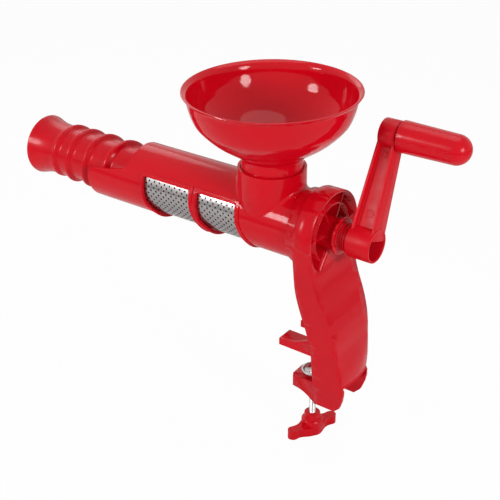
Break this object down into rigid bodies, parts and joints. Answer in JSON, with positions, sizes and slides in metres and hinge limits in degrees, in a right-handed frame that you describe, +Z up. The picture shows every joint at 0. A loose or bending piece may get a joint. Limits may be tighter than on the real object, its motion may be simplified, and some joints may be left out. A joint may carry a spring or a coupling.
{
  "type": "hand cranked tomato strainer",
  "caption": "Table-clamped strainer: a bowl feeds a hand-cranked auger that presses pulp through a perforated screen in a windowed barrel.",
  "frame": {"origin": "the corner of the table edge that the stand is clamped to: z = 0 is the underside of the upper jaws, x = 0 the face of the leg against the table, y = 0 the middle plane", "axes": "+X along the crank axis from the table towards the crank, +Z up, +Y the side the crank arm leans to in the picture"},
  "size_m": [0.4343, 0.15, 0.3272],
  "materials": {
    "stand": "glossy moulded red plastic",
    "barrel": "glossy moulded red plastic",
    "hopper": "glossy moulded red plastic",
    "screen": "perforated stainless sheet",
    "screen_hoops": "stainless strip",
    "auger": "glossy moulded red plastic",
    "drive_shank": "drawn hexagon bar",
    "bearing_bush": "natural bearing plastic",
    "shaft_seal": "soft silicone",
    "thrust_washer": "natural bearing plastic",
    "crank_arm": "glossy moulded red plastic",
    "crank_washer": "plain washer",
    "crank_screw": "pan head screw",
    "grip": "glossy moulded red plastic",
    "grip_pin": "bearing plastic pin",
    "clamp_cup": "pressed steel cup",
    "clamp_screw": "plated steel screw",
    "clamp_nut": "hexagon insert",
    "clamp_knob": "glossy moulded red plastic"
  },
  "bodies": {
    "frame": {"stand": "stand", "barrel": "barrel", "screen": "screen", "screen_hoops": "screen_hoops", "bearing_bush": "bearing_bush", "shaft_seal": "shaft_seal", "thrust_washer": "thrust_washer", "clamp_nut": "clamp_nut"},
    "crank": {"auger": "auger", "drive_shank": "drive_shank", "crank_arm": "crank_arm", "crank_washer": "crank_washer", "crank_screw": "crank_screw", "grip_pin": "grip_pin"},
    "grip": {"grip": "grip"},
    "hopper": {"hopper": "hopper"},
    "cup": {"clamp_cup": "clamp_cup"},
    "screw": {"clamp_screw": "clamp_screw", "clamp_knob": "clamp_knob"}
  },
  "joints": [
    {"name": "crank_spin", "type": "hinge", "parent": "frame", "child": "crank", "pos_m": [0, 0, 0.112], "axis": [1, 0, 0], "continuous": true},
    {"name": "grip_spin", "type": "hinge", "parent": "crank", "child": "grip", "pos_m": [0.075, 0.03431, 0.19693], "axis": [1, 0, 0], "continuous": true},
    {"name": "hopper_lift", "type": "slide", "parent": "frame", "child": "hopper", "axis": [0, 0, 1], "range_m": [0, 0.06]},
    {"name": "clamp_lift", "type": "slide", "parent": "frame", "child": "cup", "axis": [0, 0, 1], "range_m": [-0.002, 0.0235]},
    {"name": "screw_turn", "type": "hinge", "parent": "cup", "child": "screw", "pos_m": [-0.0127, 0, -0.06], "axis": [0, 0, 1], "range_deg": [-360, 5580]}
  ],
  "couplings": [
    {"joint": "clamp_lift", "follows": "screw_turn", "m_per_rad": 0.00023873}
  ]
}
